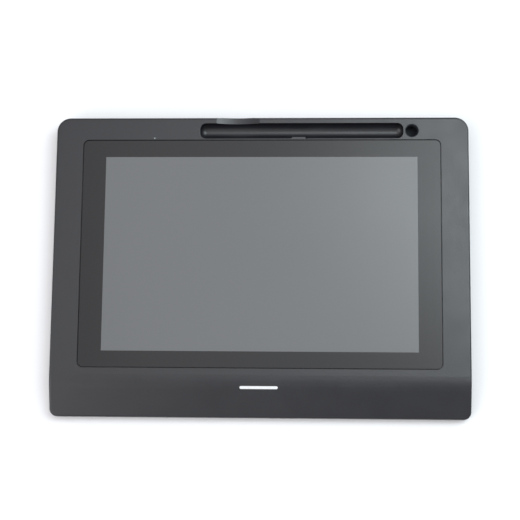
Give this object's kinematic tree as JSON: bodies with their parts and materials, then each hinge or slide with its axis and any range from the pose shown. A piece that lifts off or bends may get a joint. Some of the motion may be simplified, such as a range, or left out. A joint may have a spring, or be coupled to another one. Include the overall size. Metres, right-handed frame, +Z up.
{
  "type": "pen display",
  "caption": "Flat desktop pen display for handwritten signatures: screen under flush glass, pen tray and well behind it, sloping palm rest, fold-out legs.",
  "frame": {"origin": "centre of the footprint, on the surface that the feet stand on", "axes": "+X to the right of a seated user, +Y towards the rear edge with the pen tray, +Z up out of the screen"},
  "size_m": [0.288, 0.2088, 0.015],
  "materials": {
    "case_plastic": "fine moulded texture",
    "cover_plastic": "fine moulded texture",
    "cover_glass": "etched anti-glare",
    "border_print": "printed",
    "foam_tape": "matt",
    "lcd_glass": "polished",
    "optical_film": "satin",
    "light_guide": "polished",
    "steel_sheet": "rolled",
    "aluminium_sheet": "rolled",
    "circuit_board": "satin solder mask",
    "chip_epoxy": "matt",
    "ferrite": "matt",
    "passive_ceramic": "satin",
    "led_package": "satin",
    "connector_nylon": "matt",
    "polyimide": "satin",
    "clear_plastic": "polished",
    "button_plastic": "satin",
    "plunger_plastic": "satin",
    "switch_plastic": "matt",
    "plated_steel": "plated",
    "screw_black": "black zinc",
    "rubber_liner": "matt",
    "rubber_foot": "matt",
    "label_film": "satin film",
    "white_print": "satin"
  },
  "bodies": {
    "housing": {"front_housing": "case_plastic", "well_liner": "rubber_liner", "rear_cover": "cover_plastic", "cover_glass": "cover_glass", "border_print": "border_print", "glass_adhesive": "foam_tape", "dust_gasket": "foam_tape", "lcd_frame": "steel_sheet", "lcd_cell": "lcd_glass", "diffuser_films": "optical_film", "light_guide": "light_guide", "backlight_strip": "circuit_board", "backlight_leds": "led_package", "reflector_sheet": "optical_film", "backlight_tray": "aluminium_sheet", "pen_sensor_board": "circuit_board", "shield_plate": "steel_sheet", "panel_brackets": "steel_sheet", "bracket_screws": "plated_steel", "main_board": "circuit_board", "display_controller": "chip_epoxy", "memory_chip": "chip_epoxy", "pen_controller": "chip_epoxy", "power_inductor": "ferrite", "clock_crystal": "plated_steel", "board_passives": "passive_ceramic", "flex_connectors": "connector_nylon", "board_screws": "plated_steel", "lcd_flex": "polyimide", "backlight_flex": "polyimide", "sensor_flex": "polyimide", "status_led": "led_package", "light_pipe": "clear_plastic", "tact_switch": "switch_plastic", "usb_shell": "plated_steel", "usb_tongue": "switch_plastic", "lock_plate": "steel_sheet", "case_screws": "screw_black", "foot_rear_left": "rubber_foot", "foot_front_left": "rubber_foot", "foot_rear_right": "rubber_foot", "foot_front_right": "rubber_foot", "rating_label": "label_film", "front_mark": "white_print", "leg_pin_left": "plated_steel", "leg_pin_right": "plated_steel"},
    "power_button": {"power_button": "button_plastic", "switch_plunger": "plunger_plastic"},
    "left_leg": {"stand_leg_left": "cover_plastic", "leg_pad_left": "rubber_foot"},
    "right_leg": {"stand_leg_right": "cover_plastic", "leg_pad_right": "rubber_foot"}
  },
  "joints": [
    {"name": "power_button_press", "type": "slide", "parent": "housing", "child": "power_button", "axis": [0, -1, 0], "range_m": [0, 0.0005], "stiffness_N_per_m": 3000},
    {"name": "left_leg_fold", "type": "hinge", "parent": "housing", "child": "left_leg", "pos_m": [-0.11648, 0.0799, 0.0034], "axis": [1, 0, 0], "range_deg": [0, 100]},
    {"name": "right_leg_fold", "type": "hinge", "parent": "housing", "child": "right_leg", "pos_m": [0.11648, 0.0799, 0.0034], "axis": [1, 0, 0], "range_deg": [0, 100]}
  ]
}
